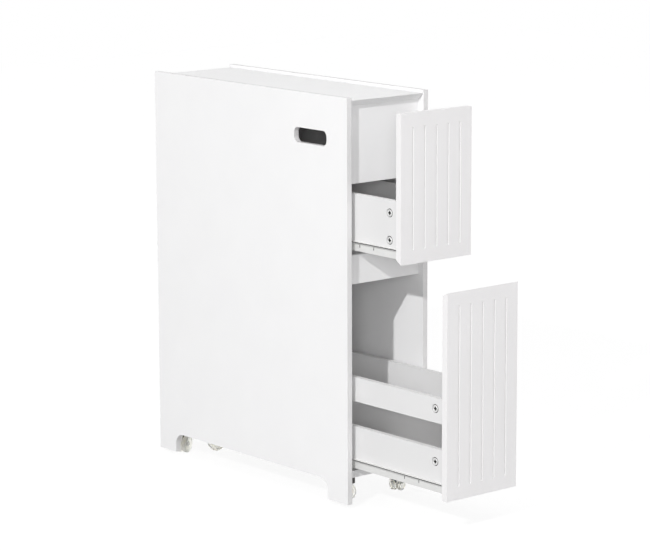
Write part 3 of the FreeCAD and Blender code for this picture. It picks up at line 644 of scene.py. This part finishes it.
# %% Caster arms
RIVET_REACH, ARM_HALF, ARM_EDGE = 6.0 * MM, 2.1 * MM, 0.3 * MM
for name in CASTERS:
    joint = joints[name + "_roll"]
    middle, axle = Vector(joint["pos_m"]), Vector(joint["axis"])
    mesh = bmesh.new()
    mesh.from_mesh(solids[name + "_caster_arm"].data)
    bmesh.ops.remove_doubles(mesh, verts=mesh.verts, dist=JOIN_REACH)
    rivet = 0
    for face in mesh.faces:
        reach = face.calc_center_median() - middle
        along = abs(reach.dot(axle))
        near = (reach - axle * reach.dot(axle)).length < RIVET_REACH
        face.material_index = 1 if near and along > ARM_HALF else 0
        rivet += face.material_index
    arm = finish_mesh(name + "_arm_dressed", mesh, [finishes["caster_dark"], finishes["bolt_steel"]],
                      name + "_arm", name + "_caster_arm")
    ease(arm, ARM_EDGE)
    print(name, "rivet faces:", rivet)

# %% [markdown]
# The drawer runners are cut from coated strip, so the coat ends at the cut. Along the lip that bare edge
# is painted nearly black, which stands both for the bare steel and for the thin shadow line under the lip:
# painted shade. The slots punched in the web look dark, because nothing lights the gap behind them. First
# the slots have to be found. Their ends are faces that look forward or back, inside the sheet of the web
# and clear of the ends of the runner, and each pair of them bounds one slot.

# %% Find the slots of a runner
FOOT, LIP, SHEET, END_CLEAR = 10.0 * MM, 6.0 * MM, 1.2 * MM, 5.0 * MM
FACING_FRONT, PLACE_DIGITS = 0.9, 5


def web_slots(mesh, web, low, high):
    """The start, end, bottom and top of each slot, where web is the distance of the web from the middle."""
    levels = {}
    for face in mesh.faces:
        middle = face.calc_center_median()
        inside = web - SHEET < abs(middle.x) < web and low.y + END_CLEAR < middle.y < high.y - END_CLEAR
        if inside and abs(face.normal.y) > FACING_FRONT:
            heights = [corner.co.z for corner in face.verts]
            levels.setdefault(round(middle.y, PLACE_DIGITS), []).extend(heights)
    ends = sorted(levels)
    return [(start, end, min(levels[start]), max(levels[start])) for start, end in zip(ends[::2], ends[1::2])]


print("helper ready:", web_slots.__name__)

# %% [markdown]
# A copy of each runner takes a second, nearly black finish on the cut edge of its lip, bare steel with a
# painted shadow line. Each slot gets a painted shadow: a thin dark plate let into the sheet, which is
# simpler than lighting the gap behind the slots true to life.

# %% Drawer runners
SLOT_PLAY, NEAR_LIP = 0.04 * MM, 0.1 * MM
SHADOW_PLATE_DEPTH, SHADOW_PLATE_THICKNESS = 0.75 * SHEET, 0.45 * SHEET


def dress_runner(node, body):
    low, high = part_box(node)
    web = min(abs(low.x), abs(high.x)) + FOOT + SHEET
    mesh = bmesh.new()
    mesh.from_mesh(solids[node].data)
    bmesh.ops.remove_doubles(mesh, verts=mesh.verts, dist=JOIN_REACH)
    mesh.normal_update()
    for face in mesh.faces:
        middle = face.calc_center_median()
        # The cut edge of the lip takes the nearly black finish: bare steel, darkened further as a painted shadow
        # line.
        shaded_cut_edge = abs(abs(middle.x) - web - LIP) < NEAR_LIP and middle.z > high.z - SHEET
        face.material_index = 1 if shaded_cut_edge else 0
    slots = web_slots(mesh, web, low, high)
    for start, end, bottom, top in slots:
        # A thin dark plate in each slot is a painted shadow of the gap behind it.
        shadow_plate = Vector((math.copysign(web - SHADOW_PLATE_DEPTH, low.x), (start + end) / 2, (bottom + top) / 2))
        size = Vector((SHADOW_PLATE_THICKNESS, end - start - SLOT_PLAY, top - bottom - SLOT_PLAY))
        plug = bmesh.ops.create_cube(mesh, matrix=Matrix.LocRotScale(shadow_plate, None, size))
        for corner in plug["verts"]:
            for face in corner.link_faces:
                face.material_index = 1
    piece = finish_mesh(node + "_dressed", mesh, [finishes["runner_white"], painted_shade_and_cut_edge], body, node)
    ease(piece, EDGE_WIDTHS["runner_white"])
    print(node, "slots:", len(slots))


for drawer in ("upper", "lower"):
    for side in ("left", "right"):
        dress_runner(f"{drawer}_{side}_drawer_runner", drawer + "_drawer")

# %% [markdown]
# ## Studio
# The photo was taken in a white studio, with one lamp at the left, a little in front and above, and white
# all round. The world gives the even light, and the lamp, built in the next cell, gives the crisp shadows
# inside the open cabinet. The background is white because the camera, and anything shiny, sees a white
# world.


# %% World
def seen_directly(tree):
    """Is 1 for the camera and for what is shiny or clear, and 0 for light on its way to a dull surface."""
    path = tree.nodes.new("ShaderNodeLightPath")
    seen = path.outputs["Is Camera Ray"]
    for other in ("Is Glossy Ray", "Is Transmission Ray"):
        either = tree.nodes.new("ShaderNodeMath")
        either.operation = "MAXIMUM"
        tree.links.new(seen, either.inputs[0])
        tree.links.new(path.outputs[other], either.inputs[1])
        seen = either.outputs["Value"]
    return seen


AMBIENT, WHITE = 0.2, (1.0, 1.0, 1.0, 1.0)
world = bpy.data.worlds.new("white_studio")
bpy.context.scene.world = world
world.use_nodes = True
tree = world.node_tree
tree.nodes.clear()
mix = tree.nodes.new("ShaderNodeMixShader")
even = tree.nodes.new("ShaderNodeBackground")
even.inputs["Color"].default_value = WHITE
even.inputs["Strength"].default_value = AMBIENT
white = tree.nodes.new("ShaderNodeBackground")
white.inputs["Color"].default_value = WHITE
white.inputs["Strength"].default_value = 1.0
out = tree.nodes.new("ShaderNodeOutputWorld")
tree.links.new(seen_directly(tree), mix.inputs["Fac"])
tree.links.new(even.outputs["Background"], mix.inputs[1])
tree.links.new(white.outputs["Background"], mix.inputs[2])
tree.links.new(mix.outputs["Shader"], out.inputs["Surface"])
print("even light", AMBIENT)

# %% [markdown]
# The direction of the key lamp can be read from the shadows: the edge of the left panel falls on the
# board behind it 28 mm to the right for 13 mm of depth, and shadows drop about two parts for three
# across. Those numbers are the lamp's direction. The left panel grows darker away from the lamp, so the
# lamp isn't far off: a disc a few metres away loses light over the length of the panel, as the photo
# does, and its size sets how soft the edge of a shadow is.

# %% Key lamp
KEY_ALONG, KEY_AIM = Vector((2.15, 1.0, -1.4)).normalized(), Vector((0.0, -0.15, 0.45))
KEY_DISTANCE, KEY_STRENGTH, KEY_SIZE = 6.0, 1.74, 0.16
disc = bpy.data.lights.new("key", "AREA")
disc.shape = "DISK"
disc.size = KEY_SIZE
disc.energy = KEY_STRENGTH * math.pi * KEY_DISTANCE ** 2
key = bpy.data.objects.new("key", disc)
key.location = KEY_AIM - KEY_ALONG * KEY_DISTANCE
key.rotation_euler = KEY_ALONG.to_track_quat("-Z", "Y").to_euler()
bpy.context.scene.collection.objects.link(key)
print("key lamp", KEY_DISTANCE, "m from the open drawers")

# %% [markdown]
# White screens stand round the set: one beside the camera, one to its right, one overhead, and two on the
# far side. They are broad, so they throw no sharp edge of their own. The one beside the camera reaches as
# deep into the open cabinet as the eye does. Without the others, the drawer fronts, which the key lamp
# only grazes, and the far sides, which it never reaches, would look grey. They are sun lamps, which have
# parallel rays. Each row gives the direction of the light, its strength, and the angle in degrees over
# which it spreads.


# %% White screens
def sun(name, direction, strength, spread):
    lamp = bpy.data.lights.new(name, "SUN")
    lamp.energy = strength
    lamp.angle = math.radians(spread)
    holder = bpy.data.objects.new(name, lamp)
    holder.rotation_euler = direction.to_track_quat("-Z", "Y").to_euler()
    bpy.context.scene.collection.objects.link(holder)
    print(name, "at", strength, "along", [round(part, 2) for part in direction.normalized()])


SCREENS = {
    "screen_front": (Vector((0.63, 0.75, -0.19)), 0.67, 16),
    "screen_right": (Vector((-0.5, 1.0, -0.25)), 0.45, 50),
    "screen_above": (Vector((0.15, 0.3, -1.0)), 0.80, 50),
    "screen_far_right": (Vector((-1.0, -0.1, -0.15)), 1.3, 40),
    "screen_behind": (Vector((0.0, -1.0, -0.15)), 1.2, 40),
}
for name, (direction, strength, spread) in SCREENS.items():
    sun(name, direction, strength, spread)

# %% [markdown]
# The floor is a plain pale sheet under the wheels. To the camera most of its light is its own, so it
# meets the white of the world without a horizon. The rest is lit like any sheet, and that share carries
# the shadow.

# %% Floor
FLOOR_HALF, FLOOR_GLOW, GLOW_STRENGTH = 6.0, 0.7, 1.27
FLOOR_PATCH, FLOOR_TINTS = 0.8, ((0.54, 0.54, 0.54), (0.56, 0.56, 0.56))
floor_mesh = bpy.data.meshes.new("floor")
edges = (-FLOOR_HALF, FLOOR_HALF)
floor_mesh.from_pydata([(x, y, 0) for x in edges for y in edges], [], [(0, 2, 3, 1)])
floor = bpy.data.objects.new("floor", floor_mesh)
bpy.context.scene.collection.objects.link(floor)
floor_finish, tree, shader = new_finish("pale_floor", roughness=0.9)
two_tints(tree, shader, patches(tree, FLOOR_PATCH, detail=2.0), *FLOOR_TINTS)
shader.inputs["Specular IOR Level"].default_value = 0.0
seen = seen_directly(tree)
share = tree.nodes.new("ShaderNodeMath")
share.operation = "MULTIPLY"
share.inputs[1].default_value = FLOOR_GLOW
glow = tree.nodes.new("ShaderNodeEmission")
glow.inputs["Strength"].default_value = GLOW_STRENGTH
mix = tree.nodes.new("ShaderNodeMixShader")
tree.links.new(seen, share.inputs[0])
tree.links.new(share.outputs["Value"], mix.inputs["Fac"])
tree.links.new(shader.outputs["BSDF"], mix.inputs[1])
tree.links.new(glow.outputs["Emission"], mix.inputs[2])
tree.links.new(mix.outputs["Shader"], tree.nodes["Material Output"].inputs["Surface"])
floor_mesh.materials.append(floor_finish)
print("floor", 2 * FLOOR_HALF, "m wide")

# %% [markdown]
# ## Camera
# The camera stands where the photo was taken: about five metres away, to the left of the fronts and a
# little above the top, with a long lens, so the upright edges stay nearly parallel.

# %% Camera
CAMERA_PLACE = Vector((-3.0232, -3.5814, 1.2640))
CAMERA_LOOK = Vector((0.63200, 0.75228, -0.18628))
CAMERA_UP = Vector((0.12293, 0.13999, 0.98253))
LENS, SENSOR, FAR_LIMIT = 151.2, 36.0, 100.0
lens = bpy.data.cameras.new("camera")
lens.sensor_width = SENSOR
lens.sensor_fit = "HORIZONTAL"
lens.lens = LENS
lens.clip_end = FAR_LIMIT
camera = bpy.data.objects.new("camera", lens)
right = CAMERA_LOOK.cross(CAMERA_UP).normalized()
up = right.cross(CAMERA_LOOK).normalized()
turn = Matrix((right, up, -CAMERA_LOOK.normalized())).transposed()
camera.matrix_world = Matrix.Translation(CAMERA_PLACE) @ turn.to_4x4()
bpy.context.scene.collection.objects.link(camera)
bpy.context.scene.camera = camera
bpy.context.scene.view_settings.view_transform = "Standard"
print("camera", round(CAMERA_PLACE.length, 2), "m from the middle of the floor")

# %% [markdown]
# ## Last step
# The view layer is brought up to date.

# %% Update the view layer
bpy.context.view_layer.update()
